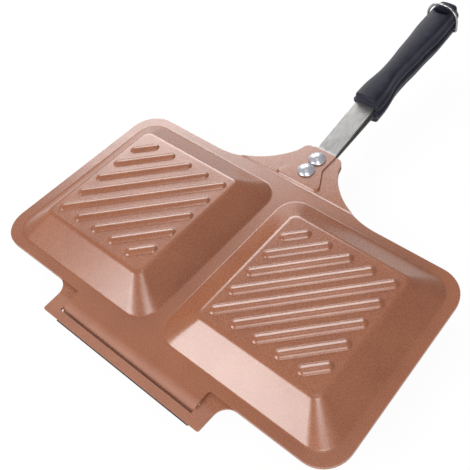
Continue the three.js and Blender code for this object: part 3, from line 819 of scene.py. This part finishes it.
def pocket_cutter(matrix):
    """The bar that leaves the pocket for the strap's tang."""
    skin = Skin()
    taper = GRIP_START + TANG_TAPER_INSET
    mouth, inner = STRAP_WIDTH / 2 + FIT_GAP, TANG_WIDTH / 2 + FIT_GAP
    half = [
        (mouth, GRIP_START - PAST_END),
        (mouth, taper),
        (inner, taper + TANG_TAPER),
        (inner, GRIP_START + TANG_DEPTH + FIT_GAP),
    ]
    loop = outline(mirrored(half))
    deep = STRAP / 2 + FIT_GAP
    skin.solid([[(*p, TANG_OFFSET + z) for p in loop] for z in (-deep, deep)])
    return skin.build("pocket_cutter", matrix)


plastic = Finish("dark moulded plastic", Metallic=0.0, IOR=1.38)
grain = plastic.noise(1100, detail=2, rough=0.6)
wear = plastic.noise(60, detail=3, rough=0.5)
mottle = plastic.range(grain + wear, 0.75, 1.25, 0, 1)
plastic.set(
    Base_Color=plastic.blend(mottle, linear("1F1F27"), linear("32323E")),
    Roughness=0.42 + plastic.range(wear, 0.3, 0.7, -0.04, 0.06),
    Specular_IOR_Level=0.15,
    Normal=plastic.bump(grain, 0.4, 0.1 * MM),
)
for side, matrix in (("upper", on_tang), ("lower", under_tang)):
    grip = moulded_grip(f"{side}_grip_moulding", matrix)
    punch(grip, [eye_cutter(matrix), pocket_cutter(matrix)])
    plastic.on(grip)
    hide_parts(f"{side}_grip")
    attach(grip, f"{side}_half")

# Grip screws. One countersunk steel screw in the parting face of each grip holds the tang.
bright = Finish("bright screw steel", Metallic=1.0)
turning = bright.noise(900, detail=2, rough=0.5)
bright.set(
    Base_Color=bright.blend(turning, linear("9C9A98"), linear("CFCDCB")),
    Roughness=0.25 + turning * 0.15,
    Normal=bright.bump(turning, 0.1, 0.1 * MM),
)
for name in ("upper_grip_screw", "lower_grip_screw"):
    bright.on(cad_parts[name])

# Lock bail. A loop of bright spring wire, its ends turned in to two blind holes in the sides of the
# lower grip, swings over the upper grip's nose and holds the handle shut.
WIRE, BAIL_HALF, BAIL_HEIGHT, BAIL_CORNER, BAIL_ELBOW = 1.1, 13.7, 22.3, 13, 2
PIVOT_INSET, PIVOT_DROP, PIN = 13, 5, 5.2
half = [(BAIL_HALF - PIN, 0), (BAIL_HALF, 0, BAIL_ELBOW), (BAIL_HALF, BAIL_HEIGHT, BAIL_CORNER)]
wire_path = np.array(outline(mirrored(half), steps=16, closed=False))
heading = np.gradient(wire_path, axis=0)
heading /= np.linalg.norm(heading, axis=1)[:, None]
skin = Skin()
rings = []
for (x, z), (dx, dz) in zip(wire_path, heading):
    around = arc(0, 0, WIRE, 0, 2 * math.pi, steps=20)[:-1]
    rings.append([(x - dz * out, y, z + dx * out) for out, y in around])
skin.solid(rings)
pivot = Matrix.Translation((0, GRIP_START + GRIP_LENGTH - PIVOT_INSET, -PIVOT_DROP))
bail = skin.build("lock_bail_wire", on_tang @ pivot)
wire = Finish("bright spring wire", Metallic=1.0)
drawn = wire.noise(1100, detail=2, rough=0.5)
wire.set(
    Base_Color=wire.blend(drawn, linear("8E8C8B"), linear("B4B2B1")),
    Roughness=0.16 + drawn * 0.12,
    Normal=wire.bump(drawn, 0.08, 0.1 * MM),
)
wire.on(bail)
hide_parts("lock_bail")
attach(bail, "bail")

# Camera, where the photograph was taken from. The focal length and the shift are in pixels of the
# photograph, and the matrix is the one that was fitted to it.
PHOTO_SIZE, FOCAL, SHIFT, SENSOR = 470, 624.74, -75, 36
camera = bpy.data.objects.new("camera", bpy.data.cameras.new("camera"))
bpy.context.scene.collection.objects.link(camera)
camera.data.sensor_width = SENSOR
camera.data.lens = SENSOR * FOCAL / PHOTO_SIZE
camera.data.shift_x = SHIFT / PHOTO_SIZE
camera.data.clip_start, camera.data.clip_end = 0.01, 50
camera.matrix_world = Matrix(
    (
        (0.7944514, -0.45355793, 0.40389625, 0.2084542),
        (0.60495501, 0.64971416, -0.460327, -0.1471517),
        (-0.05363215, 0.61004649, 0.79054847, 0.3381752),
        (0, 0, 0, 1),
    )
)
bpy.context.scene.camera = camera

# Studio. A pale floor that shows white and keeps the object's shadow, an even room that shows
# pale too, and soft lamps for the broad highlights on the front walls, the ribs and the boss.
# Lengths here are in metres.
FLOOR_SIZE, FLOOR_DROP, FLOOR_GLOW, ROOM_LIGHT = 12, 0.0005, 0.94, 0.3
LAMP_AIM = Vector((0.06, -0.02, 0.01))
floor_z = cad_box[0][2] - FLOOR_DROP
bpy.ops.mesh.primitive_plane_add(size=FLOOR_SIZE, location=(0, 0, floor_z))
floor = bpy.context.object
floor.name = "floor"
ground = Finish("pale floor", Roughness=0.9, Base_Color=linear("F2F2F2"), Specular_IOR_Level=0.1)
camera_ray = ground.add("LightPath", output="Is Camera Ray")
glossy_ray = ground.add("LightPath", output="Is Glossy Ray")
seen = ground.maths("MAXIMUM", camera_ray, glossy_ray)
lit = Value(ground, ground.shader.outputs[0])
glow = ground.add("Emission", {}, {"Strength": 1.0})
floor_look = ground.add("MixShader", {}, {0: seen * FLOOR_GLOW, 1: lit, 2: glow})
ground.put(ground.tree.nodes["Material Output"].inputs[0], floor_look)
ground.on(floor)

world = bpy.data.worlds.new("room")
bpy.context.scene.world = world
world.use_nodes = True
room = Nodes(world.node_tree)
light = room.tree.nodes["Background"]
room.put(light.inputs["Color"], (0.97, 0.98, 1.0, 1))
room.put(light.inputs["Strength"], ROOM_LIGHT)
pale = room.add("Background", {}, {"Strength": 1.0})
camera_ray = room.add("LightPath", output="Is Camera Ray")
room_look = room.add("MixShader", {}, {0: camera_ray, 1: Value(room, light.outputs[0]), 2: pale})
room.put(room.tree.nodes["World Output"].inputs[0], room_look)


def softbox(name, direction, distance, size, power):
    """A lamp in a direction from the place that all of them face."""
    lamp = bpy.data.objects.new(name, bpy.data.lights.new(name, "AREA"))
    lamp.data.shape = "RECTANGLE"
    lamp.data.size, lamp.data.size_y = size
    lamp.data.energy = power
    way = Vector(direction).normalized()
    lamp.location = LAMP_AIM + way * distance
    lamp.rotation_mode = "QUATERNION"
    lamp.rotation_quaternion = way.to_track_quat("Z", "Y")
    bpy.context.scene.collection.objects.link(lamp)


softbox("front softbox", (-0.36, -0.8, 0.47), 1.2, (0.75, 0.4), 10)
softbox("back softbox", (-0.68, 0.6, 0.46), 1.4, (1.0, 0.72), 16.5)
softbox("near softbox", (0.42, -0.37, 0.83), 1.4, (0.45, 0.4), 6)
softbox("high softbox", (0.0, 0.05, 1.0), 1.4, (0.25, 0.25), 1)
softbox("right softbox", (0.8, -0.5, 0.3), 1.5, (0.9, 0.7), 12)

bpy.context.scene.view_settings.view_transform = "Standard"
